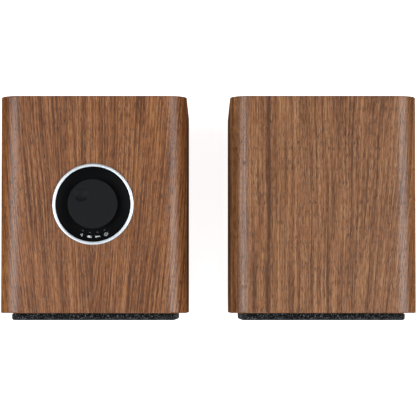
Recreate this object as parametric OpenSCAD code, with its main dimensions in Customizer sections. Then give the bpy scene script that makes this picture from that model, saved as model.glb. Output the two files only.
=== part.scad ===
// Pair of desktop speakers: an active one with a volume dial in its top, and a passive one.
// Millimetres. Z is up, the fabric grilles face -Y, and the origin is on the table
// under the middle of the pair. A "w" in a profile is the depth behind the front
// of the baffle, and a "v" is the height outside a rear plate.

/* [Cabinets] */
// Width of one cabinet
cabinet_w = 129; // [127:1:140]
// Height of one cabinet without its feet
cabinet_h = 172; // [170:1:190]
// Depth of one cabinet without the grille
cabinet_d = 150; // [148:1:165]
// Radius of the four long edges
edge_r = 13; // [10:0.5:15]
// Thickness of the walls
wall = 9; // [8:0.5:9.5]
// Space between the two cabinets
gap = 30; // [10:1:120]
// Height of the rubber feet
foot_h = 3; // [2:0.5:5]

/* [Grilles] */
// How far a grille stands in front of its cabinet
grille_t = 5; // [4.6:0.2:7]
// Distance from the cabinet's outline to the grille's
grille_inset = 7.5; // [6.5:0.5:8]

/* [Dial] */
// Outer radius of the metal ring
ring_r = 28; // [27.4:0.2:30]
// Radius of the volume knob
knob_r = 17; // [15:0.5:18]
// Height of the knob's top above the cabinet
knob_top = 7; // [6.6:0.2:9]
// How far the knob can be pressed
press_travel = 0.5; // [0.3:0.1:0.6]

/* [Drive units] */
// Height of the woofer's axis above the table
woofer_z = 64; // [62:1:66]
// Height of the tweeter's axis above the table
tweeter_z = 137; // [135:1:140]
// Inner radius of the reflex port
port_r = 15; // [12:0.5:15]
// Length of the reflex port
port_l = 70; // [50:1:80]

/* [Hidden] */

LEFT = -1;
RIGHT = 1;
// The smallest overlap that fuses two shapes, and the gap round a bonded piece
fuse = 1;
bond = 0.05;
// Facets of round holes and pins, and of the large turned parts
$fn = 48;
turned_fn = 96;

// Rear sockets reach this far behind the cabinet's rear edge
rear_reach = 7;
pitch = cabinet_w + gap;
front_y = (grille_t - cabinet_d - rear_reach) / 2;
rear_y = front_y + cabinet_d;
bottom_z = foot_h;
top_z = foot_h + cabinet_h;
mid_z = foot_h + cabinet_h / 2;
inner_w = cabinet_w - 2 * wall;
inner_h = cabinet_h - 2 * wall;
inner_r = 4;
floor_z = bottom_z + wall;

// Baffle, back panel and the blocks that the back panel is screwed to
baffle_t = 12;
panel_t = 6;
panel_recess = 4;
panel_y = rear_y - panel_recess;
panel_inner_y = panel_y - panel_t;
block_w = 14;
block_l = 20;
block_x = inner_w / 2 - block_w / 2;
block_dz = inner_h / 2 - block_w / 2;
pilot_r = 1.5;
pilot_l = 12;

// Grille
cloth_t = 0.8;
grille_w = cabinet_w - 2 * grille_inset;
grille_h = cabinet_h - 2 * grille_inset;
grille_r = 6;
frame_t = grille_t - cloth_t;
frame_wall = 1.2;
frame_flange = 8;
magnet_r = 3;
magnet_t = 2;
magnet_x = inner_w / 2 - 4;
magnet_dz = inner_h / 2 - 5.5;

// Woofer
flange_r = 46;
flange_t = 3;
woofer_hole_r = 41;
rebate_gap = 0.2;
cone_r = 30;
cone_w = 2.4;
former_r = 12.45;
former_t = 0.3;
coil_r = 12.95;
coil_from = 29;
coil_to = 37;
spider_w = 22.35;
woofer_screw_r = 43.4;
woofer_screws = [45, 135, 225, 315];

// Tweeter
tweeter_r = 22;
tweeter_hole_r = 17;
dome_r = 10;
tweeter_screw_r = 19.3;
tweeter_screws = [90, 210, 330];

// Dial
dial_y = (front_y + rear_y) / 2;
dial_hole_r = ring_r - 1.2;
ring_t = 1.5;
ring_in = ring_r - 2.1;
dish_r = ring_in - bond;
dish_rise = 1.2;
dish_flat_r = 18;
dish_floor = 2;
dish_skirt = 12;
shaft_r = 3;
shaft_gap = 0.05;
shaft_bottom = -4.5;
shaft_top = knob_top - 1;
knob_bottom = 0.8;
knob_skin = 1.6;
encoder_w = 12;
encoder_bottom = -8.1;
board_t = 1.6;
plunger_r = 2.4;
plunger_l = 2.2;
lens_r = 0.6;
lens_ring_r = 19.8;
lens_angles = [-111, -96, -81, -66];
dimple_x = -7.85;
dimple_y = 6.5;
dimple_r = 4.7;
dimple_depth = 1.1;

// Amplifier plate and what is in it, as [x, z] from the middle of the cabinet
plate_w = 84;
plate_h = 78;
plate_z = 65;
plate_t = 1.6;
plate_y = panel_y + plate_t;
plate_corner = 3;
plate_window_w = 68;
plate_window_h = 64;
plate_window_z = 66;
plate_screw_x = plate_w / 2 - 3.5;
plate_screw_dz = plate_h / 2 - 4;
pcb_y = plate_y - 12;
rca_at = [[-16, 90], [-1, 90], [14, 90]];
aux_at = [28, 90];
post_at = [-29, 90];
usb_at = [24, 66];
dc_at = [22, 42];
rocker_at = [-16, 42];
rocker_tilt = 8;
rocker_depth = 3;
rca_r = 4.15;
post_r = 2;
socket_end = rear_y + rear_reach - plate_y;

// Spring-clip terminals
terminal_w = 34;
terminal_h = 24;
terminal_lip = 2;
terminal_depth = 10;
clip_x = 8;
clip_slot_w = 10;
clip_slot_h = 20;
clip_slot_d = 6;
clip_pin_z = 6;
clip_pin_v = -1.5;
clip_pin_r = 1;
wire_hole_z = -6.5;
wire_hole_r = 1.6;

// Wires inside the cabinets
wire_r = 0.9;
wire_gap = 2;

// ---- Helpers ----

// Rectangle with round corners, centred
module rounded(w, h, r) {
    square([w - 2 * r, h], center = true);
    square([w, h - 2 * r], center = true);
    for (sx = [-1, 1], sy = [-1, 1])
        translate([sx * (w / 2 - r), sy * (h / 2 - r)]) circle(r, $fn = 64);
}

// Flat shape in X and Z, made into a plate from y to y + depth
module along_y(y, depth) {
    translate([0, y + depth, 0]) rotate([90, 0, 0]) linear_extrude(depth) children();
}

// Plate with round corners, about the point x, z
module plate(x, z, w, h, r, y, depth) {
    along_y(y, depth) translate([x, z]) rounded(w, h, r);
}

// Block about the point x, z
module block(x, z, w, h, y, depth) {
    translate([x - w / 2, y, z - h / 2]) cube([w, depth, h]);
}

// Rod along Y
module rod(x, z, r, y, length) {
    translate([x, y, z]) rotate([-90, 0, 0]) cylinder(h = length, r = r);
}

// Profile of radius and depth, turned about an axis along Y
module turned(x, z, y, profile) {
    translate([x, y, z]) rotate([-90, 0, 0]) rotate_extrude($fn = turned_fn) polygon(profile);
}

module at_side(side) {
    translate([side * pitch / 2, 0, 0]) children();
}

module at_dial() {
    at_side(LEFT) translate([0, dial_y, top_z]) children();
}

module at_terminal(side) {
    x = side == LEFT ? -6 : 0;
    y = side == LEFT ? plate_y : panel_y;
    z = side == LEFT ? 66 : 60;
    at_side(side) translate([x, y, z]) children();
}

// Points at equal steps from one angle to another, round a centre of [radius, depth]
function arc(c, r, from, to, steps) =
    [for (i = [0 : steps]) let (a = from + (to - from) * i / steps) c + r * [cos(a), sin(a)]];

function reversed(list) = [for (i = [len(list) - 1 : -1 : 0]) list[i]];

// ---- Cabinet ----

module at_blocks() {
    for (sx = [-1, 1], sz = [-1, 1])
        translate([sx * block_x, 0, mid_z + sz * block_dz]) children();
}

module cabinet(side) {
    color("sienna") at_side(side) difference() {
        union() {
            difference() {
                plate(0, mid_z, cabinet_w, cabinet_h, edge_r, front_y, cabinet_d);
                plate(0, mid_z, inner_w, inner_h, inner_r, front_y - fuse, cabinet_d + 2 * fuse);
            }
            for (sx = [-1, 1], sz = [-1, 1])
                block(sx * (block_x + fuse), mid_z + sz * (block_dz + fuse),
                      block_w + 2 * fuse, block_w + 2 * fuse, panel_inner_y - block_l, block_l);
        }
        at_blocks() rod(0, 0, pilot_r, panel_inner_y - pilot_l, pilot_l + fuse);
        if (side == LEFT)
            translate([0, dial_y, top_z - wall - fuse])
                cylinder(h = wall + 2 * fuse, r = dial_hole_r, $fn = turned_fn);
    }
}

module front_baffle(side) {
    color("burlywood") at_side(side) difference() {
        plate(0, mid_z, inner_w - 2 * bond, inner_h - 2 * bond, inner_r, front_y, baffle_t);
        rod(0, woofer_z, woofer_hole_r, front_y - fuse, baffle_t + 2 * fuse, $fn = turned_fn);
        rod(0, woofer_z, flange_r + rebate_gap, front_y - fuse, flange_t + fuse, $fn = turned_fn);
        rod(0, tweeter_z, tweeter_hole_r, front_y - fuse, baffle_t + 2 * fuse);
        rod(0, tweeter_z, tweeter_r + rebate_gap, front_y - fuse, flange_t + fuse);
        at_magnets() rod(0, 0, magnet_r, front_y - fuse, magnet_t + fuse);
        at_woofer_screws() rod(0, 0, pilot_r, front_y, 10);
        at_tweeter_screws() rod(0, 0, 1.1, front_y, 10);
    }
}

module back_panel(side) {
    color("dimgray") at_side(side) difference() {
        plate(0, mid_z, inner_w - 2 * bond, inner_h - 2 * bond, inner_r, panel_inner_y, panel_t);
        rod(0, tweeter_z, port_r + 2 + bond, panel_inner_y - fuse, panel_t + 2 * fuse);
        at_blocks() rod(0, 0, pilot_r + 0.3, panel_inner_y - fuse, panel_t + 2 * fuse);
        if (side == LEFT) {
            plate(0, plate_window_z, plate_window_w, plate_window_h, 3, panel_inner_y - fuse,
                  panel_t + 2 * fuse);
            at_plate_screws() rod(0, 0, 1.1, panel_y - 5, 5 + fuse);
        } else {
            block(0, 60, terminal_w + 2 * bond, terminal_h + 2 * bond, panel_inner_y - fuse,
                  panel_t + 2 * fuse);
        }
    }
}

module feet(side) {
    color("#222222") at_side(side)
        for (x = [-44, 44], y = [front_y + 20, rear_y - 20])
            translate([x, y, 0]) cylinder(h = foot_h, r = 7);
}

// Flared tube behind the back panel, with a collar on the outside of the panel
module port_tube(side) {
    flare = 4;
    collar = 2;
    profile = concat(
        arc([port_r + flare, flare], flare, 270, 180, 6),
        arc([port_r + flare, port_l - flare], flare, 180, 90, 6),
        [
            [port_r + 7, port_l],
            [port_r + 7, port_l - collar],
            [port_r + 2, port_l - collar],
            [port_r + 2, flare],
            [port_r + flare, 1.5]
        ]);
    color("#1c1c1e") at_side(side) turned(0, tweeter_z, panel_y + collar - port_l, profile);
}

module wadding(side) {
    color("white") at_side(side) plate(0, 78, 92, 76, 10, 0, 28);
}

// ---- Grille ----

module at_magnets() {
    for (sx = [-1, 1], sz = [-1, 1])
        translate([sx * magnet_x, 0, mid_z + sz * magnet_dz]) children();
}

// Ring between the grille's outline less "outer" and the same less "inner"
module grille_ring(outer, inner, y, depth) {
    along_y(y, depth) translate([0, mid_z]) difference() {
        rounded(grille_w - 2 * outer, grille_h - 2 * outer, grille_r - outer);
        rounded(grille_w - 2 * inner, grille_h - 2 * inner, 3);
    }
}

// Pressed steel tray without a bottom: a wall with a flange behind and one in front
module grille_frame(side) {
    back = cloth_t + frame_flange;
    color("#2a2a2c") at_side(side) {
        grille_ring(cloth_t, cloth_t + frame_wall, front_y - frame_t, frame_t);
        grille_ring(cloth_t, back, front_y - 1, 1);
        grille_ring(cloth_t, cloth_t + 5, front_y - frame_t, 1);
        block(0, 112.5, grille_w - 2 * cloth_t - 4, 4, front_y - frame_t, 1);
    }
}

// Fabric stretched over the frame and round its sides
module grille_cloth(side) {
    soft = 1.7;
    slab = 0.1;
    color("#303033") at_side(side) difference() {
        hull() {
            plate(0, mid_z, grille_w, grille_h, grille_r, front_y - grille_t + soft,
                  grille_t - soft - 0.3, $fn = 32);
            plate(0, mid_z, grille_w - 0.3 * soft, grille_h - 0.3 * soft, grille_r - 0.15 * soft,
                  front_y - grille_t + 0.5 * soft, slab, $fn = 32);
            plate(0, mid_z, grille_w - soft, grille_h - soft, grille_r - 0.5 * soft,
                  front_y - grille_t, slab, $fn = 32);
        }
        plate(0, mid_z, grille_w - 2 * cloth_t, grille_h - 2 * cloth_t, grille_r - cloth_t,
              front_y - frame_t, frame_t + fuse);
    }
}

module grille_magnets(side) {
    color("silver") at_side(side) at_magnets() rod(0, 0, magnet_r, front_y, magnet_t);
}

// ---- Woofer ----

module at_woofer_screws() {
    for (a = woofer_screws)
        translate([woofer_screw_r * cos(a), 0, woofer_z + woofer_screw_r * sin(a)]) children();
}

// Flange, open cone-shaped basket, a ledge for the spider and a seat for the motor
module woofer_frame(side) {
    windows = 6;
    profile = [
        [38.5, 0], [flange_r, 0], [flange_r, flange_t], [40.5, flange_t], [40.5, 5], [29.5, 31],
        [14.5, 31], [14.5, 29.5], [28.5, 29.5], [28.5, 24], [25, 24], [25, 22.6], [31.5, 22.6],
        [38.9, 5], [37, 5], [37, flange_t], [38.5, flange_t]
    ];
    color("#3a3a3c") at_side(side) difference() {
        turned(0, woofer_z, front_y, profile);
        at_woofer_screws() rod(0, 0, pilot_r + 0.2, front_y - fuse, flange_t + 2 * fuse);
        for (i = [0 : windows - 1])
            translate([0, 0, woofer_z]) rotate([0, 30 + 360 * i / windows, 0])
                translate([28, front_y + 8, -10]) cube([16, 12, 20]);
    }
}

// Top plate, ferrite ring, back plate and pole, bonded into one magnet system
module woofer_motor(side) {
    profile = [
        [0, 30.5], [11.9, 30.5], [11.9, 47], [15, 47], [15, 35], [13.4, 35], [13.4, 31], [28, 31],
        [28, 35], [30, 35], [30, 47], [28, 47], [28, 51], [0, 51]
    ];
    color("#4b4b50") at_side(side) turned(0, woofer_z, front_y, profile);
}

function cap_w(r) = 11 + 4.3 * pow(r / 15, 2);

// Paper cone with its dust cap, voice-coil former and coil
module woofer_cone(side) {
    cap_t = 0.6;
    cap_r = 15;
    neck_w = 17.4;
    former_in = former_r - former_t;
    profile = concat(
        [for (i = [0 : 6]) [cap_r * i / 6, cap_w(cap_r * i / 6)]],
        [
            [cone_r, cone_w], [cone_r, cone_w + 0.9], [former_r + 1, neck_w + 0.9],
            [former_r, neck_w + 1.6], [former_r, coil_from], [coil_r, coil_from],
            [coil_r, coil_to], [former_in, coil_to]
        ],
        [for (i = [4 : -1 : 0]) [former_in * i / 4, cap_w(former_in * i / 4) + cap_t]]);
    color("#1b1b1d") at_side(side) turned(0, woofer_z, front_y, profile);
}

// Rubber half roll between the cone and the basket
module woofer_surround(side) {
    c = [34.2, 3];
    outer = 3.3;
    inner = 2.7;
    lip = 10.5;
    profile = concat(
        [[cone_r, 3], [cone_r, cone_w]],
        arc(c, outer, 180 + lip, 360 - lip, 10),
        [[38.4, cone_w], [38.4, 3]],
        arc(c, inner, 360, 180, 10));
    color("#141416") at_side(side) turned(0, woofer_z, front_y, profile);
}

function spider_wave(r) = spider_w - 0.8 * sin(1080 * (r - former_r) / (25 - former_r));

// Corrugated centring disc between the former and the basket's ledge
module woofer_spider(side) {
    t = 0.25;
    steps = 24;
    radii = [for (i = [0 : steps]) former_r + (25 - former_r) * i / steps];
    profile = concat(
        [for (r = radii) [r, spider_wave(r) - t]],
        [[28, spider_w - t], [28, spider_w + t]],
        [for (r = reversed(radii)) [r, spider_wave(r) + t]]);
    color("goldenrod") at_side(side) turned(0, woofer_z, front_y, profile);
}

// ---- Tweeter ----

module at_tweeter_screws() {
    for (a = tweeter_screws)
        translate([tweeter_screw_r * cos(a), 0, tweeter_z + tweeter_screw_r * sin(a)]) children();
}

module tweeter_plate(side) {
    profile = [[16, 0], [tweeter_r, 0], [tweeter_r, flange_t], [11, flange_t], [12.2, 1.4]];
    color("#222224") at_side(side) difference() {
        turned(0, tweeter_z, front_y, profile);
        at_tweeter_screws() rod(0, 0, 1.3, front_y - fuse, flange_t + 2 * fuse);
    }
}

function dome_w(r) = 0.9 + 2.4 * pow(r / dome_r, 2);

// Silk dome with its rim, former and coil
module tweeter_dome(side) {
    profile = concat(
        [for (i = [0 : 6]) [dome_r * i / 6, dome_w(dome_r * i / 6)]],
        [[10.8, 3.3], [10.8, 3.6], [10.2, 3.6], [10.2, 7], [9.7, 7], [9.7, 3.6]],
        [for (i = [5 : -1 : 0]) [9.4 * i / 5, dome_w(9.4 * i / 5) + 0.35]]);
    color("#57575c") at_side(side) turned(0, tweeter_z, front_y, profile);
}

module tweeter_motor(side) {
    profile = [
        [0, 5], [9.2, 5], [9.2, 16], [13, 16], [13, 6.2], [10.7, 6.2], [10.7, 4.2], [13, 4.2],
        [13, flange_t], [16, flange_t], [16, 20], [0, 20]
    ];
    color("#4b4b50") at_side(side) turned(0, tweeter_z, front_y, profile);
}

// ---- Fasteners and wires ----

module at_plate_screws() {
    for (sx = [-1, 1], sz = [-1, 1])
        translate([sx * plate_screw_x, 0, plate_z + sz * plate_screw_dz]) children();
}

// Hexagon-socket screw whose head sits on the plane v = 0 and whose shank goes to -length
module screw(head_r, head_t, shank_r, length) {
    rotate([-90, 0, 0]) difference() {
        union() {
            cylinder(h = head_t, r = head_r);
            translate([0, 0, -length]) cylinder(h = length + 0.1, r = shank_r);
        }
        translate([0, 0, head_t - 0.9]) cylinder(h = 1.2, r = head_r * 0.5, $fn = 6);
    }
}

module screws(side) {
    color("#2b2b2b") at_side(side) {
        at_woofer_screws() translate([0, front_y, 0]) rotate([0, 0, 180]) screw(2.5, 1.6, pilot_r, 10);
        at_tweeter_screws() translate([0, front_y, 0]) rotate([0, 0, 180]) screw(2.1, 1.3, 1.1, 10);
        at_blocks() translate([0, panel_y, 0]) screw(3, 1.8, pilot_r, panel_t + pilot_l);
        if (side == LEFT)
            at_plate_screws() translate([0, plate_y, 0]) screw(2.2, 1.4, 1.1, plate_t + 5);
    }
}

function unit(v) = v / norm(v);

function curve_point(a, b, c, d, t) =
    0.5 * (2 * b + (c - a) * t + (2 * a - 5 * b + 4 * c - d) * t * t
           + (3 * b - a - 3 * c + d) * t * t * t);

// Smooth line through all the points, with "n" steps between two of them
function smooth(p, n) = concat(
    [for (i = [0 : len(p) - 2], k = [0 : n - 1])
        curve_point(p[max(i - 1, 0)], p[i], p[i + 1], p[min(i + 2, len(p) - 1)], k / n)],
    [p[len(p) - 1]]);

// Tube of eight sides along a list of points
module tube(p, r) {
    sides = 8;
    last = len(p) - 1;
    up = unit([0.35, 0.15, 1]);
    rings = [for (i = [0 : last])
        let (t = unit(p[min(i + 1, last)] - p[max(i - 1, 0)]),
             u = unit(cross(t, up)),
             v = cross(u, t))
        for (k = [0 : sides - 1])
            p[i] + r * (cos(360 * k / sides) * u + sin(360 * k / sides) * v)];
    walls = [for (i = [0 : last - 1], k = [0 : sides - 1])
        let (a = i * sides + k, b = i * sides + (k + 1) % sides)
        [a, b, b + sides, a + sides]];
    caps = [
        [for (k = [sides - 1 : -1 : 0]) k],
        [for (k = [0 : sides - 1]) last * sides + k]
    ];
    polyhedron(points = rings, faces = concat(walls, caps));
}

// Two tubes side by side along one route
module wire_pair(route) {
    for (s = [0, 1])
        tube(smooth([for (q = route) q + s * wire_gap * [-1, 0, 1]], 3), wire_r);
}

// Woofer and tweeter leads, from the amplifier on the left or the crossover on the right
module speaker_wires(side) {
    start = side == LEFT ? [31.5, 57, 60] : [28, 44, 20];
    bend = side == LEFT ? [44, 50, 66] : [46, 46, 34];
    color("firebrick") at_side(side) {
        wire_pair([start, bend, [51, 30, 66], [51, -10, 66], [48, -44, 64], [38, -53, 62]]);
        wire_pair([start + [0, 0, 8], bend + [0, -2, 12], [51, 20, 100], [46, -20, 128],
                   [30, -46, 136], [12, -54, 134]]);
        if (side == RIGHT)
            wire_pair([[0, 59, 58], [-6, 50, 50], [-14, 42, 34], [-16, 40, 20]]);
    }
}

// ---- Spring-clip terminals ----

module terminal_block(side) {
    color("#18181a") at_terminal(side) difference() {
        union() {
            block(0, 0, terminal_w + 4, terminal_h + 4, 0, terminal_lip);
            block(0, 0, terminal_w, terminal_h, -terminal_depth, terminal_depth + fuse);
        }
        for (x = [-clip_x, clip_x]) {
            block(x, 0, clip_slot_w, clip_slot_h, -clip_slot_d, clip_slot_d + 2 * terminal_lip);
            rod(x, wire_hole_z, wire_hole_r, -terminal_depth - fuse, terminal_depth);
            translate([x - 6.7, clip_pin_v, clip_pin_z]) rotate([0, 90, 0])
                cylinder(h = 13.4, r = clip_pin_r + 0.06);
        }
    }
}

// Lever on a pin. Pressing the pad in frees the wire below it
module clip(side, x, paint) {
    color(paint) at_terminal(side) translate([x, 0, 0]) {
        translate([-6.5, clip_pin_v, clip_pin_z]) rotate([0, 90, 0])
            cylinder(h = 13, r = clip_pin_r);
        translate([-4.7, -2.6, -3]) cube([9.4, 2.2, 11.5]);
        translate([-4.7, -1, -3]) cube([9.4, 4, 4.5]);
    }
}

// ---- Crossover of the right speaker ----

module crossover() {
    board = [70, 45, 1.6];
    post_h = 4;
    deck = floor_z + post_h + board[2];
    color("#2f5a3a") at_side(RIGHT) translate([0, 8, 0]) {
        for (x = [-30, 30], y = [5, 40])
            translate([x, y, floor_z]) cylinder(h = post_h + fuse / 2, r = 3);
        translate([-board[0] / 2, 0, floor_z + post_h]) cube(board);
        for (x = [-20, 2])
            translate([x, 14, deck - 0.2]) difference() {
                cylinder(h = 9, r = 9);
                translate([0, 0, 2]) cylinder(h = 8, r = 4);
            }
        translate([14, 24, deck + 5]) rotate([0, 90, 0]) cylinder(h = 18, r = 5.2);
        translate([20, 4, deck - 0.2]) cube([6, 12, 5]);
    }
}

// ---- Dial in the top of the left cabinet ----

module dial_ring() {
    profile = [
        [ring_in, -5], [dial_hole_r - 0.1, -5], [dial_hole_r - 0.1, 0], [ring_r, 0],
        [ring_r, ring_t - 0.4], [ring_r - 0.3, ring_t], [ring_in + 0.3, ring_t],
        [ring_in, ring_t - 0.3]
    ];
    color("#d6d8dc") at_dial() rotate_extrude($fn = turned_fn) polygon(profile);
}

function dish_z(r) = dish_rise * pow(max(r - dish_flat_r, 0) / (dish_r - dish_flat_r), 2);

module at_lenses() {
    for (a = lens_angles)
        translate([lens_ring_r * cos(a), lens_ring_r * sin(a), 0]) children();
}

// Shallow dish round the knob, with a skirt that carries it in the ring
module dial_dish() {
    bush_hole = 3.6;
    steps = 6;
    rim = [for (i = [0 : steps]) dish_flat_r + (dish_r - dish_flat_r) * i / steps];
    profile = concat(
        [[bush_hole, -dish_floor], [bush_hole, 0]],
        [for (r = rim) [r, dish_z(r)]],
        [[dish_r, -dish_skirt], [dish_r - 1.5, -dish_skirt], [dish_r - 1.5, -dish_floor]]);
    color("#121214") at_dial() difference() {
        rotate_extrude($fn = turned_fn) polygon(profile);
        at_lenses() translate([0, 0, -dish_floor - fuse])
            cylinder(h = dish_floor + 2 * fuse, r = lens_r);
    }
}

module dial_lenses() {
    color("white") at_dial() at_lenses() translate([0, 0, -dish_floor])
        cylinder(h = dish_floor + dish_z(lens_ring_r), r = lens_r);
}

// Knob with a hollow underside, a socket for the shaft and a finger dimple
module dial_knob() {
    soft = 1.2;
    socket_r = 5.5;
    socket_bottom = 3.2;
    cut_r = (pow(dimple_r, 2) + pow(dimple_depth, 2)) / (2 * dimple_depth);
    profile = concat(
        [
            [shaft_r, socket_bottom], [socket_r, socket_bottom],
            [socket_r, knob_top - knob_skin], [knob_r - knob_skin, knob_top - knob_skin],
            [knob_r - knob_skin, knob_bottom], [knob_r, knob_bottom]
        ],
        arc([knob_r - soft, knob_top - soft], soft, 0, 90, 5),
        [[0, knob_top], [0, shaft_top], [shaft_r, shaft_top]]);
    color("#232427") at_dial() difference() {
        rotate_extrude($fn = turned_fn) polygon(profile);
        translate([dimple_x, dimple_y, knob_top - dimple_depth + cut_r]) sphere(cut_r);
    }
}

module dial_shaft() {
    color("silver") at_dial() translate([0, 0, shaft_bottom])
        cylinder(h = shaft_top - shaft_bottom, r = shaft_r);
}

// Pusher under the shaft, which works the push switch
module dial_plunger() {
    color("ivory") at_dial() translate([0, 0, shaft_bottom - plunger_l])
        cylinder(h = plunger_l, r = plunger_r);
}

// Encoder with its bush, on the round board that also carries the lights
module dial_encoder() {
    bush_r = 3.5;
    bush_top = 2.4;
    deep = shaft_bottom - press_travel - 0.2;
    color("#2f5a3a") at_dial() difference() {
        union() {
            translate([-encoder_w / 2, -encoder_w / 2, encoder_bottom])
                cube([encoder_w, encoder_w, -dish_floor - 0.1 - encoder_bottom]);
            translate([0, 0, -5]) cylinder(h = 5 + bush_top, r = bush_r);
            translate([0, 0, encoder_bottom - board_t]) cylinder(h = board_t, r = 22);
            at_lenses() translate([-1, -1, encoder_bottom - 0.2]) cube([2, 2, 1.2]);
        }
        translate([0, 0, deep]) cylinder(h = bush_top - deep + fuse, r = shaft_r + shaft_gap);
        translate([0, 0, deep - 2.2]) cylinder(h = 3, r = plunger_r + shaft_gap);
    }
}

// ---- Amplifier in the back of the left cabinet ----

module amp_plate() {
    color("#3c3d40") at_side(LEFT) difference() {
        plate(0, plate_z, plate_w, plate_h, plate_corner, panel_y, plate_t);
        translate([0, panel_y - fuse, 0]) {
            deep = plate_t + 2 * fuse;
            for (p = rca_at)
                rod(p[0], p[1], rca_r + bond, 0, deep);
            rod(aux_at[0], aux_at[1], 3 + bond, 0, deep);
            rod(post_at[0], post_at[1], post_r + bond, 0, deep);
            block(usb_at[0], usb_at[1], 10.5, 4.9, 0, deep);
            block(dc_at[0], dc_at[1], 10.1, 10.1, 0, deep);
            block(rocker_at[0], rocker_at[1], 19.1, 13.1, 0, deep);
            block(-6, 66, terminal_w + 2 * bond, terminal_h + 2 * bond, 0, deep);
        }
        at_plate_screws() rod(0, 0, 1.3, panel_y - fuse, plate_t + 2 * fuse);
    }
}

// Printed board with the heat sink, capacitors and coil of the amplifier
module amp_board() {
    fins = 7;
    color("#2f5a3a") at_side(LEFT) translate([0, pcb_y - board_t, 0]) {
        block(0, 66.5, 66, 61, 0, board_t);
        block(6, 77, 44, 28, -4, 4.2);
        for (i = [0 : fins - 1])
            block(-15 + 7 * i, 77, 1.6, 28, -16, 13);
        for (x = [-20, -4])
            rod(x, 50, 6.3, -14, 14.2);
        rod(18, 50, 7, -9, 9.2);
    }
}

module rca_sockets() {
    profile = [
        [0, -12], [6, -12], [6, -plate_t], [rca_r, -plate_t], [rca_r, 0], [6, 0], [6, 1.5],
        [rca_r, 1.5], [rca_r, socket_end], [1.7, socket_end], [1.7, -3], [0, -3]
    ];
    color("gold") at_side(LEFT)
        for (p = rca_at)
            turned(p[0], p[1], plate_y, profile);
}

module usb_socket() {
    difference() {
        union() {
            block(0, 0, 12, 6, 0, 0.8);
            block(0, 0, 10.4, 4.8, -12, 12.4);
        }
        plate(0, 0, 8.4, 2.6, 1.25, -7, 9);
    }
    block(0, 0, 6.6, 0.7, -7.5, 7);
}

module dc_socket() {
    difference() {
        union() {
            block(0, 0, 11, 11, 0, 1);
            block(0, 0, 10, 10, -12, 12.5);
        }
        rod(0, 0, 2.8, -10, 12);
    }
    rod(0, 0, 1, -10.5, 10);
}

module aux_socket() {
    difference() {
        union() {
            rod(0, 0, 4.2, 0, 1.4);
            rod(0, 0, 3, -2, 2.5);
            block(0, 0, 10, 9, -12, 12 - plate_t);
        }
        rod(0, 0, 1.78, -11, 14);
    }
}

module rocker_housing() {
    difference() {
        union() {
            block(0, 0, 21, 15, 0, 2);
            block(0, 0, 19, 13, -12, 13);
        }
        block(0, 0, 17.8, 11.4, -8, 11);
        translate([0, -rocker_depth, -7]) cylinder(h = 14, r = 1.25);
    }
}

// Aux, USB and power sockets and the frame of the power switch
module panel_sockets() {
    color("#1d1d1f") at_side(LEFT) translate([0, plate_y, 0]) {
        translate([usb_at[0], 0, usb_at[1]]) usb_socket();
        translate([dc_at[0], 0, dc_at[1]]) dc_socket();
        translate([aux_at[0], 0, aux_at[1]]) aux_socket();
        translate([rocker_at[0], 0, rocker_at[1]]) rocker_housing();
    }
}

module power_rocker() {
    outline = [[-8, 2], [-8, 5.2], [0, 3.8], [8, 5.2], [8, 2], [3, -2], [-3, -2]];
    pin = 6.3;
    color("#101012") at_side(LEFT)
        translate([rocker_at[0], plate_y - rocker_depth, rocker_at[1]]) {
            rotate([0, 0, -rocker_tilt]) translate([0, 0, -5.5]) linear_extrude(11)
                polygon(outline);
            translate([0, 0, -pin]) cylinder(h = 2 * pin, r = 1.2);
        }
}

// ---- Earth terminal for a turntable ----

module at_post() {
    at_side(LEFT) translate([post_at[0], plate_y, post_at[1]]) rotate([-90, 0, 0]) children();
}

module ground_post() {
    color("silver") at_post() {
        translate([0, 0, -8]) cylinder(h = 8.5, r = post_r);
        cylinder(h = 1, r = 4);
        cylinder(h = socket_end, r = post_r);
    }
}

module ground_washer() {
    color("silver") at_post() translate([0, 0, 1]) difference() {
        cylinder(h = 0.8, r = 4.5);
        translate([0, 0, -fuse]) cylinder(h = 3, r = post_r + 0.08);
    }
}

// Thumb nut with a fluted rim
module ground_nut() {
    flutes = 16;
    nut_r = 4.5;
    color("silver") at_post() translate([0, 0, 1.8]) difference() {
        cylinder(h = 4.4, r = nut_r);
        translate([0, 0, -fuse]) cylinder(h = 7, r = post_r + 0.06);
        for (i = [0 : flutes - 1])
            rotate([0, 0, 360 * i / flutes]) translate([nut_r + 0.25, 0, -fuse])
                cylinder(h = 7, r = 0.55, $fn = 16);
    }
}

cabinet(LEFT);  // left_cabinet
front_baffle(LEFT);  // left_front_baffle
back_panel(LEFT);  // left_back_panel
grille_frame(LEFT);  // left_grille_frame
grille_cloth(LEFT);  // left_grille_cloth
grille_magnets(LEFT);  // left_grille_magnets
woofer_frame(LEFT);  // left_woofer_frame
woofer_motor(LEFT);  // left_woofer_motor
woofer_cone(LEFT);  // left_woofer_cone
woofer_surround(LEFT);  // left_woofer_surround
woofer_spider(LEFT);  // left_woofer_spider
tweeter_plate(LEFT);  // left_tweeter_plate
tweeter_dome(LEFT);  // left_tweeter_dome
tweeter_motor(LEFT);  // left_tweeter_motor
port_tube(LEFT);  // left_port_tube
feet(LEFT);  // left_feet
screws(LEFT);  // left_screws
wadding(LEFT);  // left_wadding
speaker_wires(LEFT);  // left_speaker_wires
terminal_block(LEFT);  // left_terminal_block
clip(LEFT, -clip_x, "firebrick");  // left_clip_red
clip(LEFT, clip_x, "#1a1a1a");  // left_clip_black
cabinet(RIGHT);  // right_cabinet
front_baffle(RIGHT);  // right_front_baffle
back_panel(RIGHT);  // right_back_panel
grille_frame(RIGHT);  // right_grille_frame
grille_cloth(RIGHT);  // right_grille_cloth
grille_magnets(RIGHT);  // right_grille_magnets
woofer_frame(RIGHT);  // right_woofer_frame
woofer_motor(RIGHT);  // right_woofer_motor
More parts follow.
